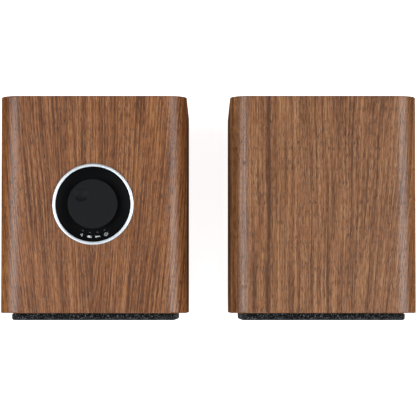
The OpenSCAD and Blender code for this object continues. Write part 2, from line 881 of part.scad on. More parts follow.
woofer_cone(RIGHT);  // right_woofer_cone
woofer_surround(RIGHT);  // right_woofer_surround
woofer_spider(RIGHT);  // right_woofer_spider
tweeter_plate(RIGHT);  // right_tweeter_plate
tweeter_dome(RIGHT);  // right_tweeter_dome
tweeter_motor(RIGHT);  // right_tweeter_motor
port_tube(RIGHT);  // right_port_tube
feet(RIGHT);  // right_feet
screws(RIGHT);  // right_screws
wadding(RIGHT);  // right_wadding
speaker_wires(RIGHT);  // right_speaker_wires
terminal_block(RIGHT);  // right_terminal_block
clip(RIGHT, -clip_x, "firebrick");  // right_clip_red
clip(RIGHT, clip_x, "#1a1a1a");  // right_clip_black
crossover();  // right_crossover
dial_ring();
dial_dish();
dial_lenses();
dial_knob();
dial_shaft();
dial_plunger();
dial_encoder();
amp_plate();
amp_board();
rca_sockets();
panel_sockets();
ground_post();
ground_washer();
ground_nut();
power_rocker();
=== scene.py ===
"""Looks of a pair of desktop speakers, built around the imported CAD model.

Lengths are in metres. A number times MM is in millimetres, and so are the profiles that
scaled() takes and the places and sizes in the materials.
"""

import math

import bmesh
import bpy
from mathutils import Matrix, Vector, noise
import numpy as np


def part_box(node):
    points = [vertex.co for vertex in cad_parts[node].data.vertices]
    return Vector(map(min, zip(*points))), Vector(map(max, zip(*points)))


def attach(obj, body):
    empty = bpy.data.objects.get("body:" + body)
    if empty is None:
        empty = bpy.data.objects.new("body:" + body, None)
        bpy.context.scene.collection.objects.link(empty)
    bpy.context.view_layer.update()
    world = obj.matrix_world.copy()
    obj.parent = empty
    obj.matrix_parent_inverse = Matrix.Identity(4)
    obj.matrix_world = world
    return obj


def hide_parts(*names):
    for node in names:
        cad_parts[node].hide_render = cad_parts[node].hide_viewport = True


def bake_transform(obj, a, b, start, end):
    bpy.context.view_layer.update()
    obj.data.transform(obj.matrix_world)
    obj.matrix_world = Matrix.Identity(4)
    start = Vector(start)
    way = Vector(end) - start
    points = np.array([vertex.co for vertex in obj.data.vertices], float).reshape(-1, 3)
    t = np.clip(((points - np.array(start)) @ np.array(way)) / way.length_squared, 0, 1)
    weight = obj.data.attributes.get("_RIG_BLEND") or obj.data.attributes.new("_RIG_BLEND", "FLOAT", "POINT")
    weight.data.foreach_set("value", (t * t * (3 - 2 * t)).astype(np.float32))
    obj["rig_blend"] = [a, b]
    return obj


MM = 0.001
SIDES = ("left", "right")

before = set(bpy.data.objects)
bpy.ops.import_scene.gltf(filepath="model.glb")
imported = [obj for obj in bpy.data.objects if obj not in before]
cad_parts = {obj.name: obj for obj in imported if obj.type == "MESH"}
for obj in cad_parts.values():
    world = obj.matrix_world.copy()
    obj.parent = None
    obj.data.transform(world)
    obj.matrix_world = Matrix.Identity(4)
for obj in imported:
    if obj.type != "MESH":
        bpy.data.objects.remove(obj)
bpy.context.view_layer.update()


# ---------------------------------------------------------------- places from the frame


def size(node):
    lo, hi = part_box(node)
    return hi - lo


def middle(node):
    lo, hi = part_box(node)
    return (lo + hi) / 2


CABINET = {side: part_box(side + "_cabinet") for side in SIDES}
FRONT = CABINET["left"][0].y
REAR = CABINET["left"][1].y
TOP = CABINET["left"][1].z
BOTTOM = CABINET["left"][0].z
# Radius of the cabinets' long edges, as in the CAD source.
EDGE_R = 13 * MM
WALL = (size("left_cabinet").x - size("left_front_baffle").x) / 2
# How far the dial's ring laps over the rim of its hole.
DIAL_LAP = 1.2 * MM
DIAL = middle("dial_ring")
DIAL.z = TOP


# ---------------------------------------------------------------- materials


class Shader:
    """Builds one node material. Each method adds a node and returns an output socket."""

    def __init__(self, name, base=(0.5, 0.5, 0.5), roughness=0.5, metallic=0.0, specular=0.5):
        self.material = bpy.data.materials.new(name)
        self.material.use_nodes = True
        self.tree = self.material.node_tree
        self.bsdf = self.tree.nodes["Principled BSDF"]
        self.set(base=(*base, 1.0), roughness=roughness, metallic=metallic, specular=specular)

    def plug(self, socket, value):
        if isinstance(value, bpy.types.NodeSocket):
            self.tree.links.new(value, socket)
        else:
            socket.default_value = value

    def set(self, **values):
        names = {
            "base": "Base Color",
            "roughness": "Roughness",
            "metallic": "Metallic",
            "specular": "Specular IOR Level",
            "normal": "Normal",
            "sheen": "Sheen Weight",
            "sheen_roughness": "Sheen Roughness",
            "emission": "Emission Color",
            "glow": "Emission Strength",
        }
        for key, value in values.items():
            self.plug(self.bsdf.inputs[names[key]], value)

    def add(self, kind, inputs, output=0, **settings):
        node = self.tree.nodes.new("ShaderNode" + kind)
        for key, value in settings.items():
            setattr(node, key, value)
        for key, value in inputs.items():
            self.plug(node.inputs[key], value)
        return node.outputs[output]

    def math(self, operation, a, b=0.0):
        return self.add("Math", {0: a, 1: b}, operation=operation)

    def times(self, a, b):
        return self.math("MULTIPLY", a, b)

    def plus(self, a, b):
        return self.math("ADD", a, b)

    def minus(self, a, b):
        return self.math("SUBTRACT", a, b)

    def bell(self, value):
        """1 where value is 0, falling smoothly to 0 on both sides."""
        return self.math("EXPONENT", self.times(self.times(value, value), -1.0))

    def parts(self, vector):
        """The x, y and z of a vector."""
        split = self.tree.nodes.new("ShaderNodeSeparateXYZ")
        self.plug(split.inputs[0], vector)
        return split.outputs

    def shaded(self, base, shade):
        """A colour multiplied by one value."""
        grey = self.add("CombineColor", {0: shade, 1: shade, 2: shade})
        return self.mix(1.0, base, grey, "MULTIPLY")

    def solid(self):
        """Place in the object, in millimetres."""
        place = self.add("TexCoord", {}, "Object")
        return self.add("VectorMath", {0: place, 1: (1 / MM,) * 3}, operation="MULTIPLY")

    def unrolled(self):
        """Place on the unrolled surface, in millimetres."""
        place = self.add("UVMap", {}, uv_map="unrolled")
        return self.add("VectorMath", {0: place, 1: (1 / MM,) * 3}, operation="MULTIPLY")

    def stretch(self, vector, sizes, shift=(0.0, 0.0, 0.0)):
        scale = tuple(1 / s for s in sizes)
        scaled = self.add("VectorMath", {0: vector, 1: scale}, operation="MULTIPLY")
        return self.add("VectorMath", {0: scaled, 1: shift}, operation="ADD")

    def noise(self, vector, detail=2.0, roughness=0.5, distortion=0.0):
        return self.add(
            "TexNoise",
            {"Vector": vector, "Scale": 1.0, "Detail": detail, "Roughness": roughness,
             "Distortion": distortion},
        )

    def ramp(self, value, low, high, to_low=0.0, to_high=1.0, smooth=True):
        return self.add(
            "MapRange",
            {0: value, 1: low, 2: high, 3: to_low, 4: to_high},
            interpolation_type="SMOOTHSTEP" if smooth else "LINEAR",
        )

    def colours(self, value, stops):
        node = self.tree.nodes.new("ShaderNodeValToRGB")
        band = node.color_ramp
        while len(band.elements) < len(stops):
            band.elements.new(0.5)
        for element, (place, colour) in zip(band.elements, stops):
            element.position = place
            element.color = (*colour, 1.0)
        self.plug(node.inputs[0], value)
        return node.outputs[0]

    def mix(self, share, a, b, blend="MIX"):
        fill = [v if isinstance(v, bpy.types.NodeSocket) else (*v, 1.0) for v in (a, b)]
        return self.add("Mix", {0: share, 6: fill[0], 7: fill[1]}, 2, data_type="RGBA",
                        blend_type=blend)

    def bump(self, height, depth, strength=1.0):
        """Relief of a depth in millimetres where height runs from 0 to 1."""
        inputs = {"Strength": strength, "Distance": depth * MM, "Height": height}
        return self.add("Bump", inputs, "Normal")


# Colours of walnut from its darkest figure to its lightest, each with its place on the scale.
WALNUT_TONES = [
    (0.14, (0.085, 0.031, 0.012)),
    (0.38, (0.160, 0.060, 0.022)),
    (0.58, (0.235, 0.092, 0.034)),
    (0.92, (0.350, 0.165, 0.070)),
]
DARK_FIBRE = (0.062, 0.023, 0.010)
PORE = (0.035, 0.015, 0.009)


def walnut(name, seed, taper, vee, lean, accents, tone, contrast):
    """Oiled walnut veneer. The grain runs along v of the unrolled surface, which is 0 in front.

    taper draws the top's figure together towards the front, vee closes it there into arches,
    and lean slants its right half. The sides are straight. accents are streaks of
    [place across, width, strength] in millimetres, dark where the strength is below 0.
    tone scales the colours' red, green and blue, and contrast scales the figure.
    Widths, lengths and places are in millimetres.
    """
    s = Shader(name)
    across, along, _ = s.parts(s.unrolled())
    figure_length, fan_width, fan_gain = 160.0, 95.0, 1.12
    ahead = s.ramp(along, figure_length, 0.0, smooth=False)

    def grain(source, width, length, shift, detail=2.0, rough=0.5, third=0.0):
        """Noise in streaks of a width across source and a length along the grain."""
        joined = s.add("CombineXYZ", {0: source, 1: along, 2: third})
        stretched = s.stretch(joined, (width, length, 1.0), (shift, shift * 0.7, float(seed)))
        return s.noise(stretched, detail, rough)

    def centred(value, reach):
        return s.times(s.minus(value, 0.5), reach)

    # Where a point lies across the figure, once that is slanted, fanned out and arched.
    slant = s.times(s.ramp(across, 0.0, 55.0), s.ramp(across, 150.0, 60.0))
    slant = s.times(s.times(slant, lean), along)
    straight = s.minus(across, slant)
    drawn = s.minus(1.0, s.times(ahead, taper))
    spread = s.bell(s.math("DIVIDE", straight, fan_width))
    spread = s.times(s.times(straight, spread), fan_gain)
    opened = s.minus(s.math("DIVIDE", 1.0, drawn), 1.0)
    fanned = s.plus(straight, s.times(spread, opened))
    arch = s.times(s.times(ahead, ahead), vee)
    side = s.ramp(fanned, -3.0, 3.0)
    ring = s.math("SQRT", s.plus(s.times(fanned, fanned), s.times(arch, arch)))
    sign = s.minus(s.times(s.math("GREATER_THAN", fanned, 0.0), 2.0), 1.0)
    signed = s.times(ring, sign)
    flow = s.plus(signed, centred(grain(straight, 34, 130, 3.1, 1.0), 4.5))
    flow = s.plus(flow, centred(grain(straight, 5.5, 34, 9.7, 1.0), 0.8))
    loose = s.plus(fanned, centred(grain(straight, 2.6, 12, 15.3, 1.0), 0.5))

    broad = grain(flow, 11, 420, 1.0, 1.0, 0.5, side)
    bands = grain(flow, 2.6, 150, 5.0, 2.0, 0.6, side)
    lines = grain(flow, 1.05, 80, 12.0, 2.0, 0.6, side)
    fibres = grain(loose, 0.62, 8.0, 21.0, 2.0, 0.55)
    hairs = grain(loose, 0.22, 9.0, 24.0, 1.0, 0.5)
    dashes = grain(loose, 0.62, 4.6, 27.0, 1.0, 0.5)
    pores = grain(loose, 0.26, 3.4, 33.0, 1.0, 0.5)
    patches = grain(straight, 9, 30, 41.0, 2.0, 0.6)

    def clear(noise_value):
        return s.ramp(noise_value, 0.34, 0.66)

    figure = 0.5
    for part, share in ((broad, 0.36), (clear(bands), 0.28), (clear(lines), 0.48),
                        (clear(fibres), 0.28), (hairs, 0.40)):
        figure = s.plus(centred(part, share * contrast), figure)
    for centre, width, strength in accents:
        streak = s.bell(s.math("DIVIDE", s.minus(flow, centre), width))
        figure = s.plus(figure, s.times(streak, strength))

    base = s.colours(figure, [(place, tuple(c * t for c, t in zip(colour, tone)))
                              for place, colour in WALNUT_TONES])
    many = s.ramp(patches, 0.35, 0.62)
    dash = s.times(s.ramp(dashes, 0.55, 0.68), s.plus(s.times(many, 0.45), 0.38))
    base = s.mix(dash, base, DARK_FIBRE)
    pore_edge = s.minus(0.665, s.times(many, 0.07))
    pore = s.ramp(s.minus(pores, pore_edge), 0.0, 0.05)
    base = s.mix(s.times(pore, 0.6), base, PORE)
    # How far a point is round the edge from where the flat top ends, below 0 on the top.
    flat_half = (size("left_cabinet").x / 2 - EDGE_R) / MM
    bend = s.minus(s.math("ABSOLUTE", across), flat_half)
    # Painted shade: the veneer's colour is darkened from the start of the rounded edges down the sides,
    # standing in for the shade that falls where the surface turns away from the lamps.
    base = s.shaded(base, s.ramp(bend, -1.5, 20.5, 1.0, 0.76))
    # Handling has polished the start of the rounded edges, and the sides are matt.
    polished = s.ramp(bend, -3.0, 0.5, 0.32, 0.55)
    gloss = s.times(polished, s.ramp(bend, 2.5, 10.0, 1.0, 0.0))
    rough = s.plus(s.plus(s.times(fibres, 0.30), 0.13), s.times(pore, 0.25))
    relief = s.minus(s.minus(s.times(fibres, 0.7), s.times(dash, 0.5)), pore)
    s.set(base=base, roughness=rough, specular=gloss, normal=s.bump(relief, 0.065, 0.9))
    return s.material


def melange(name):
    """Black grille fabric with grey flecks in a fine plain weave."""
    s = Shader(name)
    place = s.unrolled()
    pitch, thick, long = 0.55, 0.6, 1.6
    x, y, _ = s.parts(place)
    wave_x, wave_y = (s.math("SINE", s.times(v, 2 * math.pi / pitch)) for v in (x, y))
    weave = s.ramp(s.times(wave_x, wave_y), -1.0, 1.0, smooth=False)
    warp = s.noise(s.stretch(place, (thick, long, 1.0)), 2.0, 0.6)
    weft = s.noise(s.stretch(place, (long, thick, 1.0), (7.0, 3.0, 0.0)), 2.0, 0.6)
    yarn = s.math("MAXIMUM", warp, weft)
    fleck = s.ramp(yarn, 0.53, 0.70)
    base = s.colours(fleck, [
        (0.0, (0.0040, 0.0040, 0.0045)),
        (0.45, (0.018, 0.018, 0.020)),
        (1.0, (0.27, 0.27, 0.285)),
    ])
    base = s.shaded(base, s.plus(s.times(weave, 0.5), 0.6))
    height = s.plus(weave, s.times(yarn, 0.6))
    s.set(base=base, roughness=0.92, specular=0.12, sheen=0.04, sheen_roughness=0.5,
          normal=s.bump(height, 0.16, 0.9))
    return s.material


def moulded(name, base, roughness, grain=0.25, depth=0.012, specular=0.5, patch=0.10):
    """Moulded plastic or paint: a skin of a grain size and depth in millimetres, in two shades."""
    s = Shader(name, base, roughness, specular=specular)
    place, cloud_size = s.solid(), 14.0
    skin = s.noise(s.stretch(place, (grain,) * 3), 3.0, 0.6)
    cloud = s.noise(s.stretch(place, (cloud_size,) * 3), 2.0, 0.5)
    darker = tuple(c * (1 - patch) for c in base)
    lighter = tuple(min(c * (1 + patch) + 0.001, 1.0) for c in base)
    s.set(base=s.mix(cloud, darker, lighter),
          roughness=s.ramp(skin, 0.2, 0.8, roughness - 0.05, roughness + 0.05),
          normal=s.bump(skin, depth, 1.0))
    return s.material


# Size of the marks in a metal's finish, in millimetres: turned about an axis, or without one.
TOOL_MARKS = {"z": (2.5, 2.5, 0.05), "y": (2.5, 0.05, 2.5), None: (0.6, 0.6, 0.6)}


def metal(name, base, roughness, turned_about=None):
    """Bare or plated metal, with fine lines round an axis where it was turned."""
    s = Shader(name, base, roughness, metallic=1.0)
    lines = s.noise(s.stretch(s.solid(), TOOL_MARKS[turned_about]), 3.0, 0.6)
    darker = tuple(c * 0.94 for c in base)
    s.set(base=s.mix(lines, darker, base),
          roughness=s.ramp(lines, 0.25, 0.75, roughness - 0.05, roughness + 0.07),
          normal=s.bump(lines, 0.006, 0.6))
    return s.material


def turned_metal(name, base, roughness, centre):
    """Metal spun about a vertical axis: very fine rings round the centre."""
    s = Shader(name, base, roughness, metallic=1.0)
    x, y, _ = s.parts(s.solid())
    dx, dy = s.minus(x, centre.x / MM), s.minus(y, centre.y / MM)
    radius = s.math("SQRT", s.plus(s.times(dx, dx), s.times(dy, dy)))
    rings = s.noise(s.stretch(s.add("CombineXYZ", {0: radius}), (0.09, 1.0, 1.0)), 2.0, 0.7)
    angle = s.math("ARCTAN2", dy, dx)
    streak = s.noise(s.stretch(s.add("CombineXYZ", {0: radius, 1: angle}), (0.2, 0.5, 1.0)), 2.0)
    lines = s.times(s.plus(rings, streak), 0.5)
    darker = tuple(c * 0.93 for c in base)
    s.set(base=s.mix(lines, darker, base),
          roughness=s.ramp(lines, 0.3, 0.7, roughness - 0.04, roughness + 0.06),
          normal=s.bump(lines, 0.004, 0.5))
    return s.material


def fibrous(name, base, light, grain, depth, roughness=0.9):
    """Paper pulp, cloth, fleece or board: short fibres in two shades."""
    s = Shader(name, base, roughness, specular=0.25)
    place = s.solid()
    warped = s.noise(s.stretch(place, (grain, grain * 3, grain)), 4.0, 0.65, 1.5)
    clumps = s.noise(s.stretch(place, (grain * 6,) * 3), 3.0, 0.6)
    share = s.times(s.plus(warped, clumps), 0.5)
    s.set(base=s.mix(s.ramp(share, 0.35, 0.68), base, light), sheen=0.15,
          normal=s.bump(warped, depth, 0.8))
    return s.material


WOOD = {
    "left": walnut(
        "walnut_left", seed=2, taper=0.28, vee=8.5, lean=0.0,
        accents=[(-3.1, 0.5, 0.42), (2.9, 0.45, 0.40), (-37, 0.9, -0.20), (35, 0.9, -0.20)],
        tone=(1.05, 1.01, 0.98), contrast=1.0),
    "right": walnut(
        "walnut_right", seed=11, taper=0.0, vee=0.0, lean=0.09,
        accents=[(-38, 1.4, -0.30), (-30, 0.9, 0.22), (-20, 0.5, 0.34), (-6, 0.4, 0.26),
                 (17, 0.8, -0.18)],
        tone=(1.10, 1.19, 1.34), contrast=0.84),
}
FABRIC = melange("grille_fabric")
SOFT_TOUCH = moulded("soft_touch", (0.0062, 0.0062, 0.0078), 0.52, 0.18, 0.006, 0.12, 0.05)
DISH = moulded("satin_black", (0.0022, 0.0022, 0.0026), 0.42, 0.2, 0.004, 0.04, 0.05)
BLACK = moulded("moulded_black", (0.018, 0.018, 0.020), 0.45, 0.22, 0.02)
PANEL = moulded("panel_black", (0.022, 0.022, 0.024), 0.62, 0.5, 0.05)
POWDER = moulded("powder_black", (0.016, 0.016, 0.018), 0.55, 0.35, 0.03)
GLOSS_BLACK = moulded("gloss_black", (0.012, 0.012, 0.013), 0.22, 0.3, 0.004)
GLOSS_RED = moulded("gloss_red", (0.42, 0.012, 0.012), 0.25, 0.3, 0.004)
GLOSS_WHITE = moulded("gloss_white", (0.72, 0.72, 0.70), 0.3, 0.3, 0.004)
RUBBER = moulded("rubber", (0.017, 0.017, 0.018), 0.75, 0.4, 0.03, 0.3)
SILK = fibrous("silk", (0.030, 0.030, 0.034), (0.055, 0.055, 0.062), 0.12, 0.02, 0.7)
PULP = fibrous("pulp", (0.014, 0.014, 0.015), (0.034, 0.034, 0.037), 0.35, 0.06)
COTTON = fibrous("cotton", (0.42, 0.26, 0.07), (0.62, 0.42, 0.15), 0.3, 0.08)
FLEECE = fibrous("fleece", (0.60, 0.60, 0.58), (0.85, 0.85, 0.83), 0.5, 0.6)
BOARD = fibrous("stained_board", (0.020, 0.018, 0.016), (0.045, 0.040, 0.036), 0.4, 0.05)
FERRITE = moulded("ferrite", (0.060, 0.060, 0.066), 0.6, 0.3, 0.03)
ALUMINIUM = turned_metal("satin_aluminium", (0.79, 0.83, 0.88), 0.46, DIAL)
GOLD = metal("gold_plate", (0.90, 0.66, 0.30), 0.24, "y")
NICKEL = metal("nickel_plate", (0.72, 0.72, 0.70), 0.25, "y")
STEEL = metal("ground_steel", (0.60, 0.60, 0.62), 0.28, "z")
BLACK_OXIDE = metal("black_oxide", (0.10, 0.10, 0.105), 0.38)
ANODISED = moulded("anodised_black", (0.024, 0.024, 0.027), 0.42, 0.12, 0.01, 0.6)
RESIST = moulded("solder_resist", (0.018, 0.085, 0.042), 0.35, 0.8, 0.02)
VINYL = moulded("vinyl", (0.30, 0.02, 0.02), 0.4, 0.6, 0.01)
NYLON = moulded("nylon", (0.70, 0.68, 0.60), 0.5, 0.4, 0.01)
PRINT = moulded("white_print", (0.56, 0.57, 0.58), 0.55, 0.1, 0.002)
LENS = moulded("milky_lens", (0.07, 0.075, 0.085), 0.3, 0.2, 0.002)


# ---------------------------------------------------------------- mesh helpers


def piece(name, verts, faces, material, body, sharp=35):
    """A mesh piece in the given material, which rides on a body when one is given."""
    mesh = bpy.data.meshes.new(name)
    mesh.from_pydata([tuple(v) for v in verts], [], faces)
    mesh.validate()
    work = bmesh.new()
    work.from_mesh(mesh)
    bmesh.ops.recalc_face_normals(work, faces=work.faces)
    work.to_mesh(mesh)
    work.free()
    made = bpy.data.objects.new(name, mesh)
    bpy.context.collection.objects.link(made)
    mesh.materials.append(material)
    mesh.shade_smooth()
    mesh.set_sharp_from_angle(angle=math.radians(sharp))
    if body:
        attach(made, body)
    return made


def turned(name, profile, centre, axis, material, body, steps=128, sharp=35):
    """A closed profile of (radius, height), turned about an axis through centre."""
    verts, faces, rows = [], [], []
    for radius, height in profile:
        if radius < 1e-7:
            rows.append([len(verts)] * steps)
            verts.append((0.0, 0.0, height))
            continue
        rows.append(list(range(len(verts), len(verts) + steps)))
        for k in range(steps):
            a = 2 * math.pi * k / steps
            verts.append((radius * math.cos(a), radius * math.sin(a), height))
    count = len(rows)
    for i in range(count):
        low, high = rows[i], rows[(i + 1) % count]
        if low[0] == low[1] and high[0] == high[1]:
            continue
        for k in range(steps):
            n = (k + 1) % steps
            corners = [low[k], low[n], high[n], high[k]]
            faces.append(list(dict.fromkeys(corners)))
    turn = {"z": Matrix.Identity(3), "y": Matrix.Rotation(math.radians(-90), 3, "X")}[axis]
    verts = [turn @ Vector(v) + Vector(centre) for v in verts]
    return piece(name, verts, faces, material, body, sharp)


def bow(centre, radius, start, end, steps=6):
    """Points of an arc round a centre, from one angle in degrees to another."""
    angles = [math.radians(start + (end - start) * i / steps) for i in range(steps + 1)]
    return [(centre[0] + radius * math.cos(a), centre[1] + radius * math.sin(a)) for a in angles]


def scaled(profile):
    """A profile in metres, from one in millimetres."""
    return [(r * MM, h * MM) for r, h in profile]


def outline(width, height, radius, arc_steps=20, flat_steps=6):
    """Closed loop of a rectangle with round corners, and the outward direction of each point.

    It starts at the middle of the bottom and runs anticlockwise, with a point there."""
    a, b = width / 2 - radius, height / 2 - radius
    points = []

    def flat(x0, z0, x1, z1, normal):
        for i in range(flat_steps):
            t = i / flat_steps
            # Points crowd towards both ends, so that shading stays flat between them.
            t = 0.5 - 0.5 * math.cos(math.pi * t)
            points.append((x0 + (x1 - x0) * t, z0 + (z1 - z0) * t, *normal))

    def corner(cx, cz, start):
        for i in range(arc_steps):
            t = math.radians(start + 90 * i / arc_steps)
            points.append((cx + radius * math.cos(t), cz + radius * math.sin(t),
                           math.cos(t), math.sin(t)))

    half, side = height / 2, width / 2
    flat(0, -half, a, -half, (0, -1))
    corner(a, -b, -90)
    flat(side, -b, side, b, (1, 0))
    corner(a, b, 0)
    flat(a, half, -a, half, (0, 1))
    corner(-a, b, 90)
    flat(-side, b, -side, -b, (-1, 0))
    corner(-a, -b, 180)
    flat(-a, -half, 0, -half, (0, -1))
    return points


def lofted(loops):
    """Vertices and faces of a skin through loops of equal length."""
    count = len(loops[0])
    verts = [p for loop in loops for p in loop]
    faces = []
    for i in range(len(loops) - 1):
        for k in range(count):
            n = (k + 1) % count
            faces.append([i * count + k, i * count + n, (i + 1) * count + n, (i + 1) * count + k])
    return verts, faces


# ---------------------------------------------------------------- cabinets


def round_the_outline(x, z, half_w, half_h, radius):
    """Length along the cabinet's outline from the middle of its top to the point nearest x, z."""
    a, b = half_w - radius, half_h - radius
    quarter = math.pi / 2 * radius
    sign = 1 if x >= 0 else -1
    x = abs(x)
    if x <= a and z > 0:
        return sign * x
    if x > a and z > b:
        return sign * (a + radius * math.atan2(x - a, z - b))
    if z >= -b and x > a * 0.5:
        return sign * (a + quarter + (b - z))
    if x > a:
        return sign * (a + quarter + 2 * b + radius * math.atan2(-b - z, x - a))
    return sign * (a + 2 * quarter + 2 * b + (a - x))


def cabinet(side):
    """Veneered tube of wood, soft at its outer rims and crisp at its inner ones."""
    lo, hi = CABINET[side]
    centre = (lo + hi) / 2
    width, height = hi.x - lo.x, hi.z - lo.z
    inner_w, inner_h, inner_r = width - 2 * WALL, height - 2 * WALL, 4 * MM
    soft, crisp = 0.8 * MM, 0.3 * MM
    steps, sharp = 4, 30

    def loop(w, h, r, y):
        return [(centre.x + x, y, centre.z + z) for x, z, _, _ in outline(w, h, r)]

    def rounding(y_from, direction):
        """Loops over the small radius of the outer edge, from the rim to the side."""
        made = []
        for i in range(steps + 1):
            t = math.pi / 2 * i / steps
            inset = soft * (1 - math.sin(t))
            y = y_from + direction * soft * (1 - math.cos(t))
            made.append(loop(width - 2 * inset, height - 2 * inset, EDGE_R - inset, y))
        return made

    inner = [loop(inner_w, inner_h, inner_r, y) for y in (REAR - crisp, FRONT + crisp)]
    rim_front = [loop(inner_w + 2 * crisp, inner_h + 2 * crisp, inner_r + crisp, FRONT)]
    rim_rear = [loop(inner_w + 2 * crisp, inner_h + 2 * crisp, inner_r + crisp, REAR)]
    front = rounding(FRONT, 1)
    rear = rounding(REAR, -1)[::-1]
    middle_loops = [loop(width, height, EDGE_R, FRONT + (REAR - FRONT) * t)
                    for t in (0.02, 0.25, 0.5, 0.75, 0.98)]
    verts, faces = lofted(inner + rim_front + front + middle_loops + rear + rim_rear + inner[:1])
    made = piece(f"{side}_cabinet_shell", verts, faces, WOOD[side], None, sharp)
    work = bmesh.new()
    work.from_mesh(made.data)
    bmesh.ops.remove_doubles(work, verts=work.verts, dist=1e-7)
    bmesh.ops.recalc_face_normals(work, faces=work.faces)
    work.to_mesh(made.data)
    work.free()
    if side == "left":
        drill(made, DIAL, size("dial_ring").x / 2 - DIAL_LAP, 2 * WALL)
    unroll_cabinet(made, centre, width, height)
    made.data.shade_smooth()
    made.data.set_sharp_from_angle(angle=math.radians(sharp))
    weight = made.modifiers.new("weighted_normals", "WEIGHTED_NORMAL")
    weight.keep_sharp = True
    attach(made, f"{side}_speaker")
    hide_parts(f"{side}_cabinet")
    screw_blocks(side, centre, inner_w, inner_h)


def screw_blocks(side, centre, inner_w, inner_h):
    """Four blocks in the rear corners of the cabinet, for the back panel's screws."""
    wide, deep, chamfer, corner = 14 * MM, 20 * MM, 0.8 * MM, 1 * MM
    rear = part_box(f"{side}_back_panel")[0].y
    verts, faces = [], []
    for sx in (-1, 1):
        for sz in (-1, 1):
            x = centre.x + sx * (inner_w - wide) / 2
            z = centre.z + sz * (inner_h - wide) / 2
            loops = [
                [(x + px, y, z + pz) for px, pz, _, _ in
                 outline(wide - 2 * inset, wide - 2 * inset, corner, 4, 2)]
                for inset, y in ((chamfer, rear - deep), (0, rear - deep + chamfer),
                                 (0, rear - chamfer), (chamfer, rear))
            ]
            block_verts, block_faces = lofted(loops)
            count, first = len(loops[0]), len(verts)
            block_faces += [list(range(count)), list(range(3 * count, 4 * count))]
            verts += block_verts
            faces += [[first + i for i in face] for face in block_faces]
    piece(f"{side}_screw_blocks", verts, faces, BOARD, f"{side}_speaker", 30)


def drill(target, centre, radius, depth):
    """Cuts a round hole, straight down through the top."""
    bpy.ops.mesh.primitive_cylinder_add(vertices=128, radius=radius, depth=2 * depth,
                                        location=centre)
    bit = bpy.context.object
    cut = target.modifiers.new("hole", "BOOLEAN")
    cut.operation = "DIFFERENCE"
    cut.solver = "EXACT"
    cut.object = bit
    bpy.context.view_layer.objects.active = target
    bpy.ops.object.modifier_apply(modifier=cut.name)
    bpy.data.objects.remove(bit, do_unlink=True)


def unroll_cabinet(made, centre, width, height):
    """Map of the veneer: across the grain round the outline, along it from front to back.

    On both rims the strips of edging run round the outline instead."""
    mesh = made.data
    layer = mesh.uv_layers.new(name="unrolled")
    half_w, half_h, hair = width / 2, height / 2, 1e-6
    # The edging lies in the map beside the veneer, clear of it.
    edging = 0.3
    for face in mesh.polygons:
        rim = abs(face.normal.y) > 0.8
        side_x = face.center.x - centre.x
        for index in face.loop_indices:
            p = mesh.vertices[mesh.loops[index].vertex_index].co
            x, z = p.x - centre.x, p.z - centre.z
            if abs(x) < hair:
                x = math.copysign(hair, side_x)
            u = round_the_outline(x, z, half_w, half_h, EDGE_R)
            if rim:
                inset = min(half_w - abs(x), half_h - abs(z))
                layer.data[index].uv = (edging + inset, u)
            else:
                layer.data[index].uv = (u, p.y - FRONT)


for side in SIDES:
    cabinet(side)


# ---------------------------------------------------------------- grilles


def grille(side):
    """Fabric over the grille frame: flat in front, rounded at its edges, down to the wood."""
    lo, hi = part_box(f"{side}_grille_cloth")
    centre = (lo + hi) / 2
    width, height = hi.x - lo.x, hi.z - lo.z
    soft, corner, least, hem, steps = 1.7 * MM, 6 * MM, 1.2 * MM, 0.6 * MM, 6
    arc_steps, flat_steps = 8, 12
    loops, reach = [], []

    def ring(inset, y, s):
        """One loop of cloth, s beyond the edge of the flat face as the cloth runs."""
        loops.append([(centre.x + x, y, centre.z + z) for x, z, _, _ in outline(
            width - 2 * inset, height - 2 * inset, max(corner - inset, least),
            arc_steps, flat_steps)])
        reach.append(s)

    for inset in (40, 25, 12, 6, 3):
        ring(inset * MM, lo.y, 0.0)
    for i in range(steps + 1):
        t = math.pi / 2 * i / steps
        ring(soft * (1 - math.sin(t)), lo.y + soft * (1 - math.cos(t)), soft * t)
    ring(0.0, hi.y - hem, soft * math.pi / 2 + hi.y - hem - lo.y - soft)
    ring(0.35 * MM, hi.y - 0.1 * MM, soft * math.pi / 2 + hi.y - lo.y - soft)
    verts, faces = lofted(loops)
    faces.append(list(range(len(loops[0])))[::-1])
    made = piece(f"{side}_grille_fabric", verts, faces, FABRIC, f"{side}_grille",
                 60)
    layer = made.data.uv_layers.new(name="unrolled")
    count = len(loops[0])
    flat = outline(width, height, corner, arc_steps, flat_steps)
    for face in made.data.polygons:
        for index in face.loop_indices:
            vert = made.data.loops[index].vertex_index
            p = made.data.vertices[vert].co
            _, _, nx, nz = flat[vert % count]
            s = reach[vert // count]
            layer.data[index].uv = (p.x - centre.x + nx * s, p.z - centre.z + nz * s)
    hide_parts(f"{side}_grille_cloth")


for side in SIDES:
    grille(side)


# ---------------------------------------------------------------- dial


# Radius of the dish's flat middle, in millimetres.
DISH_FLAT = 18.0


def dish_height(radius):
    """Height of the dish's surface above the cabinet, both in millimetres."""
    edge, rise = size("dial_dish").x / 2 / MM, 1.2
    return rise * (max(radius - DISH_FLAT, 0.0) / (edge - DISH_FLAT)) ** 2


